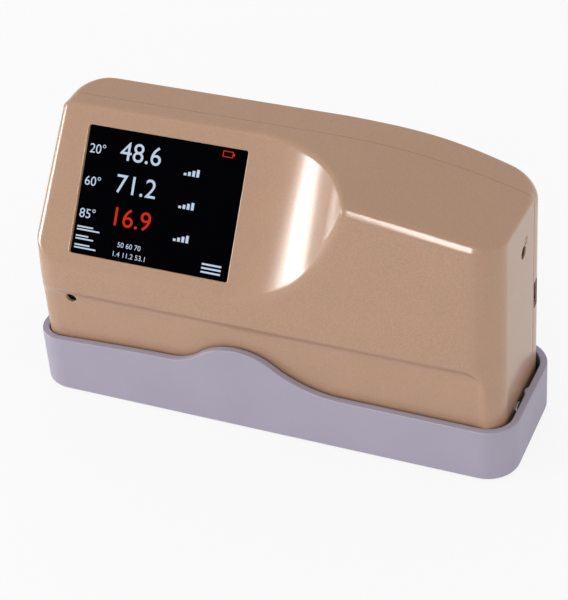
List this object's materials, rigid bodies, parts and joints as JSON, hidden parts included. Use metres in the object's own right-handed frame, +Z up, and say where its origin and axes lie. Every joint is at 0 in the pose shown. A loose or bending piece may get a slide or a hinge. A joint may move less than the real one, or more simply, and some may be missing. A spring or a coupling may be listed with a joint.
{
  "type": "gloss meter",
  "caption": "Handheld gloss meter with a leaning colour screen, sitting in its calibration holder: it lifts out to read a surface and its power button presses in.",
  "frame": {"origin": "middle of the holder's underside, on the table", "axes": "+X along the length towards the end with the power button, +Y from the screen side to the back, +Z up"},
  "size_m": [0.1734, 0.053, 0.0984],
  "materials": {
    "housing": "satin metallic",
    "holder": "satin",
    "screen": "polished",
    "tile": "polished",
    "felt": "felted",
    "base": "fine grain",
    "steel": "turned",
    "foam": "foamed",
    "panel": "pressed sheet",
    "board": "solder mask",
    "sheet": "milled",
    "brass": "turned",
    "battery": "shrink film",
    "button": "moulded",
    "optics": "black anodised",
    "lamp": "clear cast",
    "lens": "polished"
  },
  "bodies": {
    "holder": {"holder_tray": "holder", "calibration_tile": "tile", "tile_felt": "felt"},
    "instrument": {"front_shell": "housing", "rear_cover": "housing", "base_plate": "base", "base_screws": "steel", "end_screws": "steel", "screen_glass": "screen", "screen_gasket": "foam", "display_panel": "panel", "display_bracket": "sheet", "main_board": "board", "sensor_board": "board", "side_board": "board", "chassis_plate": "sheet", "standoffs": "brass", "board_screws": "steel", "battery_pack": "battery", "power_switch": "button", "usb_socket": "steel", "buzzer": "button", "optical_block": "optics", "optics_screws": "steel", "lamp_20": "lamp", "lamp_60": "lamp", "lamp_85": "lamp", "detector_20": "panel", "detector_60": "panel", "detector_85": "panel", "source_lenses": "lens", "receiver_lenses": "lens"},
    "power_key": {"power_button": "button"}
  },
  "joints": [
    {"name": "instrument_lift", "type": "slide", "parent": "holder", "child": "instrument", "axis": [0, 0, 1], "range_m": [0, 0.06]},
    {"name": "power_press", "type": "slide", "parent": "instrument", "child": "power_key", "axis": [-1, 0, 0], "range_m": [0, 0.0008], "stiffness_N_per_m": 800}
  ]
}
